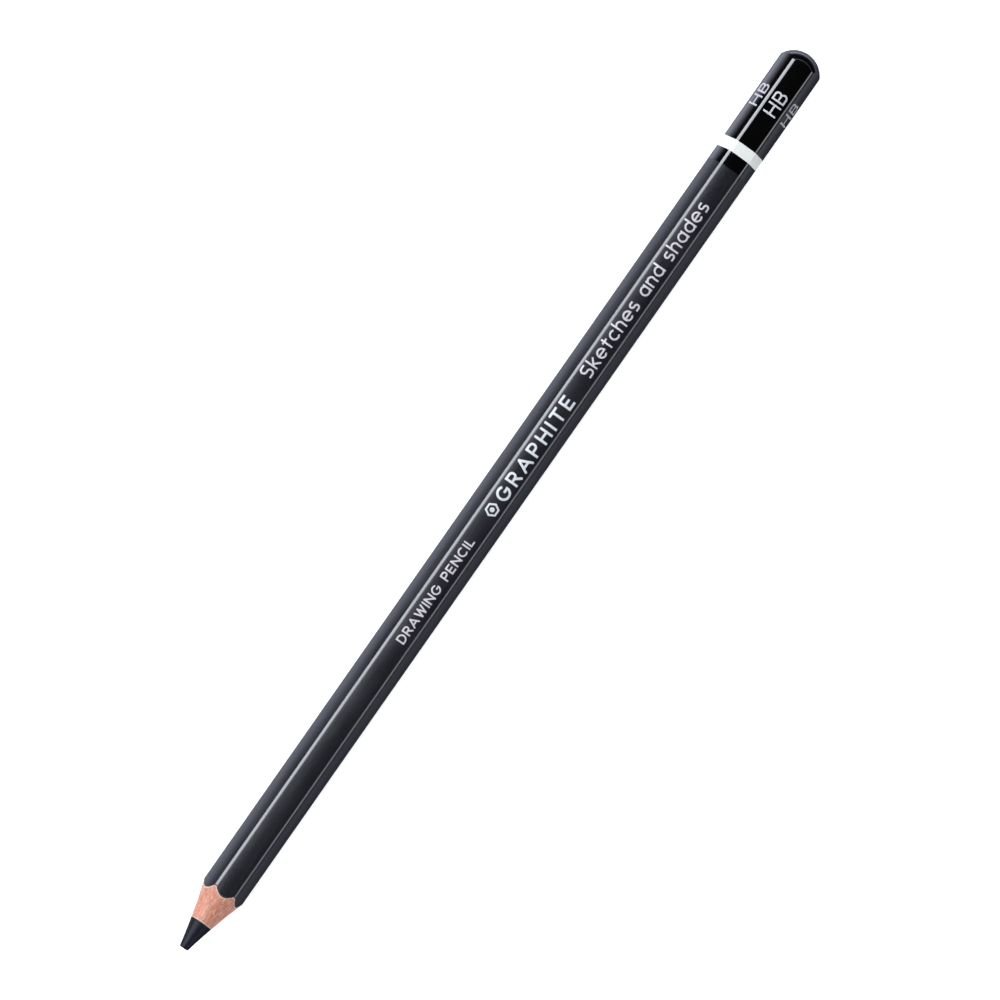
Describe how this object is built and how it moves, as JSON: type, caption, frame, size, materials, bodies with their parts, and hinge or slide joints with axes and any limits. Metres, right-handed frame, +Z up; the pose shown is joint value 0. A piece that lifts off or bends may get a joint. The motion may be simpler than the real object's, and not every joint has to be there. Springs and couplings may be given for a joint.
{
  "type": "graphite pencil",
  "caption": "Hexagonal wooden drawing pencil with a long sharpened graphite point, a dark satin barrel, a white ring and a domed gloss black end.",
  "frame": {"origin": "under the middle of the length, on the surface that the pencil lies on", "axes": "+X along the pencil from the writing tip to the dipped end, +Z up, out of the face with the imprint"},
  "size_m": [0.175, 0.0076, 0.0069],
  "materials": {
    "graphite": "burnished",
    "glue": "matte",
    "wood": "sharpened bare wood",
    "primer": "matte",
    "satin_lacquer": "satin",
    "black_gloss": "high gloss",
    "white_gloss": "gloss",
    "foil": "stamped foil"
  },
  "bodies": {
    "root": {"graphite_core": "graphite", "core_glue": "glue", "upper_slat": "wood", "lower_slat": "wood", "seam_glue_left": "glue", "seam_glue_right": "glue", "primer_coat": "primer", "colour_coat": "satin_lacquer", "base_dip": "black_gloss", "ring_dip": "white_gloss", "cap_dip": "black_gloss", "small_imprint": "foil", "emblem_imprint": "foil", "word_imprint": "foil", "light_imprint": "foil", "grade_mark_1": "foil", "grade_mark_2": "foil", "grade_mark_3": "foil", "grade_mark_4": "foil", "grade_mark_5": "foil", "grade_mark_6": "foil"}
  },
  "joints": []
}
